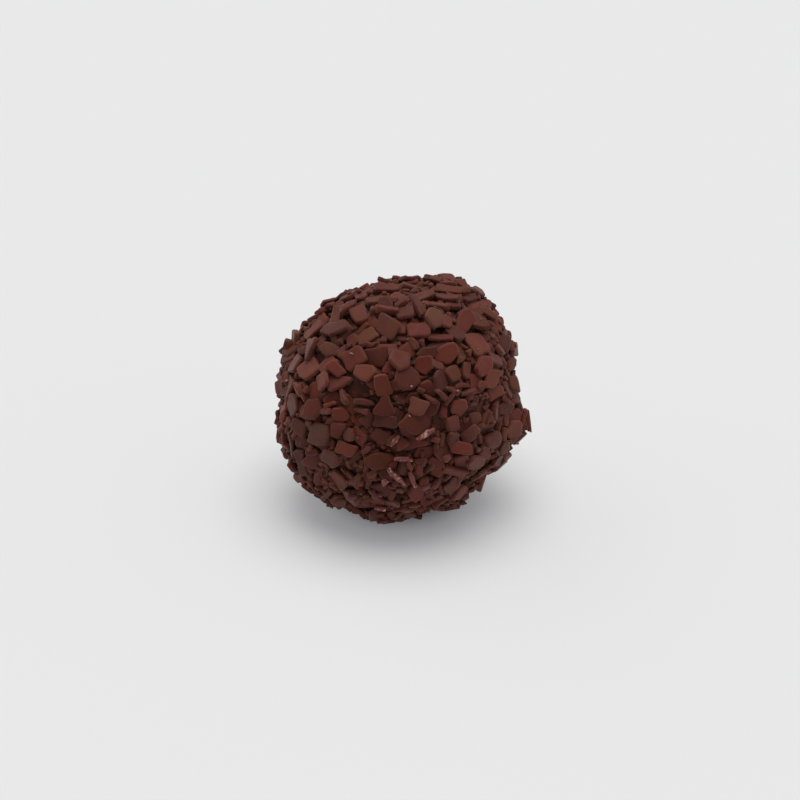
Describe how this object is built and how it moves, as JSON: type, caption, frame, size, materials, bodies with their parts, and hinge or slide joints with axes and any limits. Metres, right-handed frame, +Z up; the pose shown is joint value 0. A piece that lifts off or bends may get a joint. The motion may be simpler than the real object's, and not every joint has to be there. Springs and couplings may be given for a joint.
{
  "type": "brigadeiro",
  "caption": "Round chocolate fudge sweet coated all over in flat dark chocolate chips, resting on a small flat spot.",
  "frame": {"origin": "middle of the underside of the bounding box, on the surface that the sweet rests on", "axes": "+Z up, -Y towards the viewer of the side with the individually placed chips, +X to that viewer's right"},
  "size_m": [0.035, 0.0344, 0.0324],
  "materials": {
    "chocolate": "satin dark chocolate"
  },
  "bodies": {
    "root": {"brigadeiro": "chocolate"}
  },
  "joints": []
}
